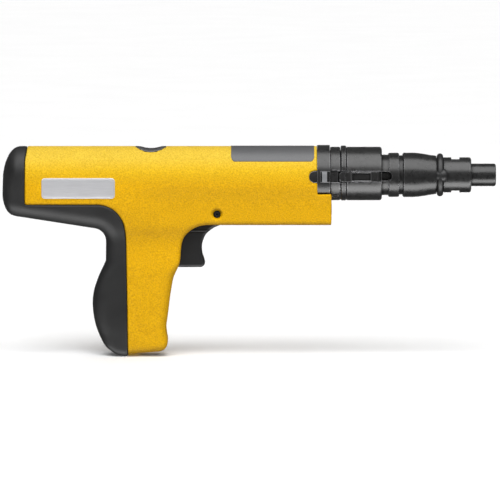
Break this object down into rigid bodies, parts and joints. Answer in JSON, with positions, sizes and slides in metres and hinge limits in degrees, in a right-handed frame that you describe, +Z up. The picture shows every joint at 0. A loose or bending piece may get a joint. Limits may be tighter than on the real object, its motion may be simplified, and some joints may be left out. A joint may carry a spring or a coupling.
{
  "type": "powder-actuated nail gun",
  "caption": "Powder-actuated fastening tool: yellow pistol-shaped housing with soft black grip, sliding steel receiver and barrel, strip feed up the handle.",
  "frame": {"origin": "centre of the muzzle face, on the barrel axis", "axes": "+X along the barrel, the way the fastener leaves; +Z up; -Y is the side with the stop latch"},
  "size_m": [0.34, 0.0412, 0.1448],
  "materials": {
    "housing_yellow": "fine wrinkle texture",
    "soft_grip": "matt, soft moulded",
    "blackened_steel": "black oxide, satin",
    "dark_steel": "black oxide, satin",
    "bright_steel": "turned",
    "black_plastic": "matt",
    "badge_silver": "satin silver",
    "label_film": "satin film",
    "buffer_rubber": "matt"
  },
  "bodies": {
    "housing": {"housing": "housing_yellow", "grip_cover": "soft_grip", "front_collar": "blackened_steel", "collar_keys": "bright_steel", "rear_plug": "dark_steel", "rear_buffer": "buffer_rubber", "guide_rod": "bright_steel", "return_spring": "bright_steel", "strip_guide": "dark_steel", "trigger_pin": "dark_steel", "trigger_spring": "bright_steel", "sear_spring": "bright_steel", "advance_lever_pin": "bright_steel", "advance_spring": "bright_steel", "badge": "badge_silver", "info_label": "label_film", "port_ring": "bright_steel"},
    "receiver": {"receiver": "blackened_steel", "annular_spring": "dark_steel", "lug_screw": "dark_steel", "breech_block": "bright_steel", "breech_pin": "dark_steel", "receiver_plug": "dark_steel", "firing_pin_spring": "bright_steel", "latch_pin": "bright_steel"},
    "stop_latch": {"stop_latch": "blackened_steel"},
    "firing_pin": {"firing_pin": "bright_steel"},
    "trigger": {"trigger": "black_plastic"},
    "trigger_bar": {"trigger_bar": "dark_steel"},
    "sear": {"sear": "bright_steel"},
    "advance_lever": {"advance_lever": "bright_steel"},
    "barrel": {"barrel": "dark_steel", "buffer_ring": "bright_steel", "barrel_nose": "dark_steel", "retaining_o_ring": "buffer_rubber", "muzzle_bushing": "blackened_steel", "fastener_guide": "dark_steel"},
    "piston": {"piston": "bright_steel", "piston_rings": "dark_steel"}
  },
  "joints": [
    {"name": "receiver_press", "type": "slide", "parent": "housing", "child": "receiver", "axis": [-1, 0, 0], "range_m": [0, 0.007], "stiffness_N_per_m": 4000, "springref_m": -0.01, "deforming": ["return_spring"]},
    {"name": "barrel_cycle", "type": "slide", "parent": "receiver", "child": "barrel", "axis": [1, 0, 0], "range_m": [-0.0045, 0.078]},
    {"name": "piston_slide", "type": "slide", "parent": "barrel", "child": "piston", "axis": [1, 0, 0], "range_m": [0, 0.08]},
    {"name": "firing_pin_strike", "type": "slide", "parent": "receiver", "child": "firing_pin", "axis": [1, 0, 0], "range_m": [-0.008, 0.0012], "stiffness_N_per_m": 1500, "deforming": ["firing_pin_spring"]},
    {"name": "trigger_pull", "type": "hinge", "parent": "housing", "child": "trigger", "pos_m": [-0.192, 0, -0.026], "axis": [0, 1, 0], "range_deg": [0, 14], "stiffness_Nm_per_rad": 1, "springref_deg": -17.19, "deforming": ["trigger_spring"]},
    {"name": "bar_slide", "type": "slide", "parent": "housing", "child": "trigger_bar", "axis": [-1, 0, 0], "range_m": [0, 0.00141]},
    {"name": "sear_drop", "type": "slide", "parent": "housing", "child": "sear", "axis": [0, 0, -1], "range_m": [0, 0.00141], "deforming": ["sear_spring"]},
    {"name": "latch_swing", "type": "hinge", "parent": "receiver", "child": "stop_latch", "pos_m": [-0.0809, -0.0164, 0], "axis": [0, 0, 1], "range_deg": [0, 22], "stiffness_Nm_per_rad": 0.5, "springref_deg": -11.46},
    {"name": "lever_swing", "type": "hinge", "parent": "housing", "child": "advance_lever", "pos_m": [-0.216, 0, -0.0245], "axis": [0, 1, 0], "range_deg": [-1.5, 20.5], "deforming": ["advance_spring"]}
  ],
  "couplings": [
    {"joint": "bar_slide", "follows": "trigger_pull", "m_per_rad": 0.005729},
    {"joint": "sear_drop", "follows": "trigger_pull", "m_per_rad": 0.005729},
    {"joint": "lever_swing", "follows": "barrel_cycle", "rad_per_m": 4.5}
  ]
}
